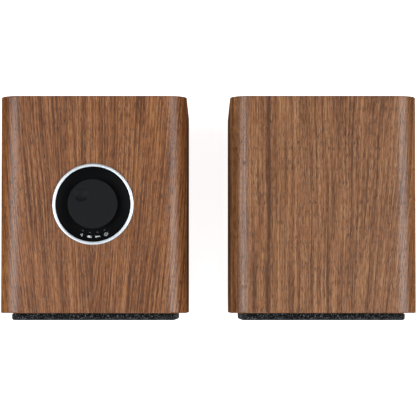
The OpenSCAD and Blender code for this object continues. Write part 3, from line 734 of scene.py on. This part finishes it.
def dial_ring():
    """Turned ring with a fine groove in its top."""
    outer = size("dial_ring").x / 2 / MM
    inner, leg = outer - 2.1, outer - 1.3
    profile = [
        (inner, -5.0), (leg, -5.0), (leg, 0.0), (outer - 0.05, 0.0), (outer, 0.08),
        *bow((outer - 0.45, 1.0), 0.45, 0, 78, 5),
        (outer - 1.02, 1.49), (outer - 1.08, 1.42), (outer - 1.14, 1.49),
        (inner + 0.45, 1.40), *bow((inner + 0.3, 1.08), 0.3, 80, 180, 5),
    ]
    made = turned("dial_ring_turned", scaled(profile), DIAL, "z", ALUMINIUM, "left_speaker",
                  192, 40)
    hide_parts("dial_ring")


def dial_dish():
    """Black dish round the knob, flat in the middle and rising to the ring."""
    edge = size("dial_dish").x / 2 / MM
    radii = [DISH_FLAT + (edge - 0.25 - DISH_FLAT) * i / 14 for i in range(15)]
    profile = [
        (3.6, -2.0), (3.6, 0.0), (10.0, 0.0), (16.5, 0.0),
        *[(r, dish_height(r)) for r in radii],
        (edge, dish_height(edge) - 0.2), (edge, -12.0), (edge - 1.5, -12.0), (edge - 1.5, -2.0),
    ]
    made = turned("dial_dish_moulded", scaled(profile), DIAL, "z", DISH, "left_speaker",
                  192, 40)
    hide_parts("dial_dish")


def dial_knob():
    """Knob with a soft edge, and a finger dimple pressed into its top."""
    lo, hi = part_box("dial_knob")
    top, low = (hi.z - TOP) / MM, (lo.z - TOP) / MM
    radius = (hi.x - lo.x) / 2 / MM
    edge, dimple_x, dimple_y, dimple_r, depth = 0.55, -7.85, 6.5, 4.9, 1.3
    # Reach and rim of the dimple as shares of its radius, and how steep and how full it is.
    reach, rim_at, steepness, fullness = 1.12, 0.95, 34, 0.6
    steps, rings = 192, 60
    flat_r = radius - edge
    profile = [(flat_r * i / rings, top) for i in range(rings + 1)]
    profile += bow((flat_r, top - edge), edge, 90, 0, 8)[1:]
    profile += [(radius, low + 0.15), (radius - 0.15, low), (radius - 1.6, low),
                (radius - 1.6, top - 1.6), (5.5, top - 1.6), (5.5, 3.2), (3.0, 3.2),
                (3.0, top - 1.0), (0.0, top - 1.0)]
    made = turned("dial_knob_moulded", scaled(profile), DIAL, "z", SOFT_TOUCH, "dial_knob",
                  steps, 40)
    middle_of_dimple = Vector((DIAL.x + dimple_x * MM, DIAL.y + dimple_y * MM))
    for v in made.data.vertices:
        if v.co.z < TOP + (top - 0.01) * MM:
            continue
        away = (Vector((v.co.x, v.co.y)) - middle_of_dimple).length / (dimple_r * MM)
        if away < reach:
            # A bowl with a softly rounded rim.
            bowl = max(0.0, 1 - away * away)
            rim = 1 / (1 + math.exp((away - rim_at) * steepness))
            v.co.z -= depth * MM * bowl ** fullness * rim
    made.data.update()
    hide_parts("dial_knob")


def on_dish(radius, degrees, lift):
    """Point on the dish's surface, raised by lift in millimetres."""
    a = math.radians(degrees)
    return (DIAL.x + radius * MM * math.cos(a), DIAL.y + radius * MM * math.sin(a),
            TOP + (dish_height(radius) + lift) * MM)


def strip(points, width):
    """Flat outline of a line of a given width, as quads of (x, y) points."""
    quads = []
    for (x0, y0), (x1, y1) in zip(points, points[1:]):
        length = math.hypot(x1 - x0, y1 - y0)
        nx, ny = -(y1 - y0) / length * width / 2, (x1 - x0) / length * width / 2
        quads.append([(x0 + nx, y0 + ny), (x0 - nx, y0 - ny), (x1 - nx, y1 - ny),
                      (x1 + nx, y1 + ny)])
    return quads


def waves_icon():
    """Radio waves: arcs that spread from a dot."""
    quads = []
    for r in (0.75, 1.4):
        quads += strip(bow((-0.5, 0), r, -48, 48, 12), 0.26)
    return quads + [bow((-0.62, 0), 0.26, 0, 360, 12)[:-1]]


def plug_icon():
    """A flat plug with two prongs."""
    body = [(-1.1, -0.75), (0.5, -0.75), (0.5, 0.75), (-1.1, 0.75)]
    prongs = [[(0.5, y - 0.16), (1.5, y - 0.16), (1.5, y + 0.16), (0.5, y + 0.16)]
              for y in (-0.42, 0.42)]
    lead = [(-1.8, -0.14), (-1.1, -0.14), (-1.1, 0.14), (-1.8, 0.14)]
    return [body, *prongs, lead]


def jack_icon():
    """A round jack plug: sleeve, ring and tip."""
    parts = [(-1.9, -1.0, 0.62), (-0.9, 0.1, 0.36), (0.2, 0.75, 0.36), (0.85, 1.45, 0.30)]
    return [[(x0, -h), (x1, -h), (x1, h), (x0, h)] for x0, x1, h in parts]


def disc_icon():
    """A record: a rim, a centre and an arm beside it."""
    rim = strip(bow((-0.35, 0), 1.0, 0, 360, 28), 0.26)
    arm = strip([(1.25, 0.95), (1.25, -0.1), (0.85, -0.7)], 0.24)
    return rim + [bow((-0.35, 0), 0.3, 0, 360, 12)[:-1]] + arm


def print_icons():
    """Small marks in white print on the dish, one beside each light."""
    ring_r, lift_off, thick = 22.55, 0.01, 0.02
    # Each mark's place round the dial, in degrees from the right.
    icons = {-111: waves_icon, -96: plug_icon, -81: jack_icon, -66: disc_icon}
    for i, (angle, icon) in enumerate(icons.items()):
        verts, faces = [], []
        for shape in icon():
            first = len(verts)
            for lift in (lift_off, lift_off + thick):
                for x, y in shape:
                    # x runs round the dish and y towards its rim, upright for the reader.
                    r = ring_r - y
                    verts.append(on_dish(r, angle + math.degrees(x / ring_r), lift))
            n = len(shape)
            faces.append([first + k for k in range(n)][::-1])
            faces.append([first + n + k for k in range(n)])
            faces += [[first + k, first + (k + 1) % n, first + n + (k + 1) % n, first + n + k]
                      for k in range(n)]
        piece(f"dial_mark_{i + 1}", verts, faces, PRINT, "left_speaker", 30)


dial_ring()
dial_dish()
dial_knob()
print_icons()


# ---------------------------------------------------------------- soft parts of the drive units


# Width of a glued seam, which doesn't stretch, in millimetres.
GLUE = 0.6


def between(made, side, centre, fixed, free):
    """Stretches a ring from the speaker, at radius fixed, to the cone, at radius free."""
    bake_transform(made, f"{side}_speaker", f"{side}_woofer_cone", start=centre,
             end=centre + Vector((0, 0, 1)))
    weights = made.data.attributes["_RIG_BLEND"].data
    for vertex, weight in zip(made.data.vertices, weights):
        radius = math.hypot(vertex.co.x - centre.x, vertex.co.z - centre.z)
        t = min(max((fixed - radius) / (fixed - free), 0.0), 1.0)
        weight.value = t * t * (3 - 2 * t)


def woofer_rubber(side):
    """Half roll between the cone and the basket."""
    centre = middle(f"{side}_woofer_surround")
    centre.y = FRONT
    rim = size(f"{side}_woofer_surround").x / 2 / MM
    cone_edge, lip_front, lip_back = 30.0, 2.4, 3.0
    roll, outer_r, inner_r, turn_in = (34.2, lip_back), 3.3, 2.7, 10.5
    profile = [(cone_edge, lip_back), (cone_edge, lip_front),
               *bow(roll, outer_r, 180 + turn_in, 360 - turn_in, 24),
               (rim, lip_front), (rim, lip_back), *bow(roll, inner_r, 360, 180, 20)]
    made = turned(f"{side}_surround_roll", scaled(profile), centre, "y", RUBBER, None,
                  128, 40)
    between(made, side, centre, (rim - GLUE) * MM, (cone_edge + GLUE) * MM)
    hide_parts(f"{side}_woofer_surround")


def woofer_centring(side):
    """Corrugated disc between the voice coil and the basket's ledge."""
    box_lo, box_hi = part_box(f"{side}_woofer_spider")
    centre = middle(f"{side}_woofer_spider")
    centre.y = FRONT
    level = ((box_lo.y + box_hi.y) / 2 - FRONT) / MM
    rim = size(f"{side}_woofer_spider").x / 2 / MM
    inner, ledge, half, crest, waves, steps = 12.45, 25.0, 0.25, 0.8, 3, 54
    radii = [inner + (ledge - inner) * i / steps for i in range(steps + 1)]

    def wave(r):
        return level - crest * math.sin(2 * waves * math.pi * (r - inner) / (ledge - inner))

    profile = [(r, wave(r) - half) for r in radii] + [(rim, level - half), (rim, level + half)]
    profile += [(r, wave(r) + half) for r in reversed(radii)]
    made = turned(f"{side}_centring_disc", scaled(profile), centre, "y", COTTON, None,
                  128, 40)
    between(made, side, centre, ledge * MM, (inner + GLUE) * MM)
    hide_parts(f"{side}_woofer_spider")


def wadding(side):
    """Pad of loose fleece: crowned, with uneven puckers."""
    lo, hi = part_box(f"{side}_wadding")
    centre, half = (lo + hi) / 2, (hi - lo) / 2
    rows, bulge, loss = 14, 3.2, 0.42
    corner, least = 14 * MM, 3 * MM

    def dent(x, z, third, depth, per_metre):
        """Depth of a pucker, from 0 to depth."""
        return depth * (0.5 + 0.5 * noise.noise(Vector((x, z, third)) * per_metre))

    def edge_loop(t):
        """Loop round the pad's edge, from its front at t = -1 to its back at t = 1."""
        share = max(1 - abs(t) ** bulge, 0.0) ** (1 / bulge)
        inset = (1 - share) * loss * min(half.x, half.z)
        loop = []
        for x, z, nx, nz in outline(2 * (half.x - inset), 2 * (half.z - inset),
                                    max(corner - inset, least), 8, 8):
            depth = dent(x, z, t * 0.03, 1.6 * MM, 60)
            loop.append((centre.x + x - nx * depth, centre.y + t * half.y,
                         centre.z + z - nz * depth))
        return loop

    def face_loops(rim, sign):
        """Loops from the rim of a face to its middle, dented along y by sign."""
        made = []
        for share in (0.8, 0.55, 0.3, 0.08):
            row = []
            for x, y, z in rim:
                px, pz = (x - centre.x) * share, (z - centre.z) * share
                depth = dent(px, pz, 0.2 * sign, 2.2 * MM, 55)
                row.append((centre.x + px, y + sign * depth, centre.z + pz))
            made.append(row)
        return made

    edge = [edge_loop(-1 + 2 * i / rows) for i in range(rows + 1)]
    loops = face_loops(edge[0], 1)[::-1] + edge + face_loops(edge[-1], -1)
    verts, faces = lofted(loops)
    count = len(loops[0])
    faces += [list(range(count)), list(range(len(verts) - count, len(verts)))]
    made = piece(f"{side}_fleece_pad", verts, faces, FLEECE, f"{side}_speaker", 80)
    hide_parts(f"{side}_wadding")


for side in SIDES:
    woofer_rubber(side)
    woofer_centring(side)
    wadding(side)


# ---------------------------------------------------------------- phono sockets


def phono_sockets():
    """Gold-plated shells round coloured insulators, one colour for each channel."""
    lo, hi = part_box("rca_sockets")
    centre = (lo + hi) / 2
    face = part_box("amp_plate")[1].y
    reach, back = (hi.y - face) / MM, (lo.y - face) / MM
    flange = (hi.z - lo.z) / 2
    wide = flange / MM
    places = [Vector((x, face, centre.z)) for x in (lo.x + flange, centre.x, hi.x - flange)]
    shell = [
        (0.0, back), (wide - 0.4, back), (wide, back + 0.4), (wide, -1.6), (4.15, -1.6),
        (4.15, 0.0), (wide, 0.0), (wide, 1.1), (wide - 0.4, 1.5), (4.15, 1.5),
        (4.15, reach - 0.5), (3.75, reach), (3.5, reach), (3.4, reach - 0.15), (3.4, -2.5),
        (0.0, -2.5),
    ]
    core = [(1.65, -2.4), (3.35, -2.4), (3.35, reach - 1.4), (3.1, reach - 1.2),
            (1.85, reach - 1.2), (1.65, reach - 1.4)]
    collar = [(4.2, 1.55), (5.3, 1.55), (5.3, 2.1), (5.1, 2.3), (4.2, 2.3)]
    for i, (place, colour) in enumerate(zip(places, (GLOSS_WHITE, GLOSS_RED, GLOSS_BLACK))):
        for name, profile in (("core", core), ("collar", collar)):
            turned(f"phono_{name}_{i + 1}", scaled(profile), place, "y", colour,
                   "left_speaker", 48, 40)
        made = turned(f"phono_shell_{i + 1}", scaled(shell), place, "y", GOLD,
                      "left_speaker", 64, 40)
        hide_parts("rca_sockets")


phono_sockets()


# ---------------------------------------------------------------- finish of the CAD nodes

PAIR_FINISH = {
    "front_baffle": BOARD,
    "back_panel": PANEL,
    "grille_frame": POWDER,
    "grille_magnets": NICKEL,
    "woofer_frame": POWDER,
    "woofer_motor": FERRITE,
    "woofer_cone": PULP,
    "woofer_surround": RUBBER,
    "woofer_spider": COTTON,
    "tweeter_plate": BLACK,
    "tweeter_dome": SILK,
    "tweeter_motor": FERRITE,
    "port_tube": BLACK,
    "feet": RUBBER,
    "screws": BLACK_OXIDE,
    "wadding": FLEECE,
    "speaker_wires": VINYL,
    "terminal_block": BLACK,
    "clip_red": GLOSS_RED,
    "clip_black": GLOSS_BLACK,
}
FINISH = {f"{side}_{node}": m for side in SIDES for node, m in PAIR_FINISH.items()}
FINISH.update({
    "right_crossover": RESIST,
    "dial_lenses": LENS,
    "dial_shaft": STEEL,
    "dial_plunger": NYLON,
    "dial_encoder": RESIST,
    "amp_plate": ANODISED,
    "amp_board": RESIST,
    "rca_sockets": GOLD,
    "panel_sockets": BLACK,
    "ground_post": NICKEL,
    "ground_washer": NICKEL,
    "ground_nut": NICKEL,
    "power_rocker": GLOSS_BLACK,
})
for name, finish in FINISH.items():
    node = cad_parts[name]
    node.data.materials.clear()
    node.data.materials.append(finish)

# Width in millimetres of the soft edge on moulded, cut and turned pieces.
PAIR_EDGES = {
    "front_baffle": 0.4, "back_panel": 0.5, "woofer_frame": 0.25, "woofer_motor": 0.4,
    "tweeter_plate": 0.25, "tweeter_motor": 0.3, "terminal_block": 0.35, "clip_red": 0.35,
    "clip_black": 0.35, "feet": 0.5, "screws": 0.15, "grille_magnets": 0.2,
}
EDGES = {f"{side}_{node}": width for side in SIDES for node, width in PAIR_EDGES.items()}
EDGES.update({"amp_plate": 0.25, "panel_sockets": 0.25, "power_rocker": 0.4, "ground_nut": 0.2,
              "ground_post": 0.2, "ground_washer": 0.12})
for name, width in EDGES.items():
    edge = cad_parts[name].modifiers.new("soft_edge", "BEVEL")
    edge.width = width * MM
    edge.segments = 2
    edge.limit_method = "ANGLE"
    edge.angle_limit = math.radians(40)
    edge.use_clamp_overlap = True
    edge.harden_normals = True


# ---------------------------------------------------------------- studio

FLOOR_REACH = 6.0


def ground():
    """White floor with a glow of its own, so that shadows on it stay faint."""
    s = Shader("studio_floor", (0.86, 0.86, 0.87), 0.8)
    grain = s.noise(s.stretch(s.solid(), (60.0,) * 3), 2.0)
    s.set(base=s.mix(grain, (0.85, 0.85, 0.86), (0.87, 0.87, 0.88)),
          emission=(1.0, 1.0, 1.0, 1.0), glow=0.87)
    bpy.ops.mesh.primitive_plane_add(size=2 * FLOOR_REACH, location=(0, 0, -0.0002))
    floor = bpy.context.object
    floor.name = "floor"
    floor.data.materials.append(s.material)


def surroundings():
    """Grey room, brightest at the height of the objects and dark straight above."""
    world = bpy.data.worlds.new("studio")
    bpy.context.scene.world = world
    world.use_nodes = True
    tree = world.node_tree
    place = tree.nodes.new("ShaderNodeTexCoord")
    split = tree.nodes.new("ShaderNodeSeparateXYZ")
    band = tree.nodes.new("ShaderNodeValToRGB")
    tree.links.new(place.outputs["Generated"], split.inputs[0])
    tree.links.new(split.outputs[2], band.inputs[0])
    tree.links.new(band.outputs[0], tree.nodes["Background"].inputs["Color"])
    # Brightness at each height, from 0 on the horizon and below it to 1 straight above.
    stops = [(0.0, 0.98), (0.07, 0.86), (0.2, 0.30), (0.6, 0.18), (0.9, 0.05)]
    while len(band.color_ramp.elements) < len(stops):
        band.color_ramp.elements.new(0.5)
    for element, (at, level) in zip(band.color_ramp.elements, stops):
        element.position = at
        element.color = (level, level, level, 1.0)
    tree.nodes["Background"].inputs["Strength"].default_value = 1.0


def softbox(name, place, width, height, power):
    """Rectangular light aimed at the speakers."""
    target = Vector((0, 0, 0.15))
    light = bpy.data.lights.new(name, "AREA")
    light.shape = "RECTANGLE"
    light.size, light.size_y = width, height
    light.energy = power
    light.color = (0.95, 0.98, 1.0)
    lamp = bpy.data.objects.new(name, light)
    bpy.context.collection.objects.link(lamp)
    lamp.location = place
    lamp.rotation_euler = (target - Vector(place)).to_track_quat("-Z", "Y").to_euler()


def camera():
    """Looks down from above the front edges, as the photograph does."""
    height, sideways, nadir, aim, shift, lens = 1.30, -0.3 * MM, 0.004, 0.0477, 0.086, 163.5
    data = bpy.data.cameras.new("camera")
    data.sensor_width = 36.0
    data.lens = lens
    data.shift_y = shift
    data.clip_start = 0.05
    data.clip_end = 50.0
    cam = bpy.data.objects.new("camera", data)
    bpy.context.collection.objects.link(cam)
    cam.location = (sideways, FRONT + nadir, TOP + height)
    ahead = Vector((sideways, FRONT + aim, TOP)) - cam.location
    cam.rotation_euler = ahead.to_track_quat("-Z", "Y").to_euler()
    bpy.context.scene.camera = cam


ground()
surroundings()
softbox("left_box", (-1.42, -0.1, 1.72), 1.1, 2.4, 35)
softbox("right_box", (1.42, -0.1, 1.72), 1.1, 2.4, 35)
softbox("front_box", (0.0, -1.9, 1.5), 2.0, 1.0, 14)
camera()

view = bpy.context.scene.view_settings
view.view_transform = "Standard"
view.look = "None"
view.exposure = 0.0

bpy.context.view_layer.update()
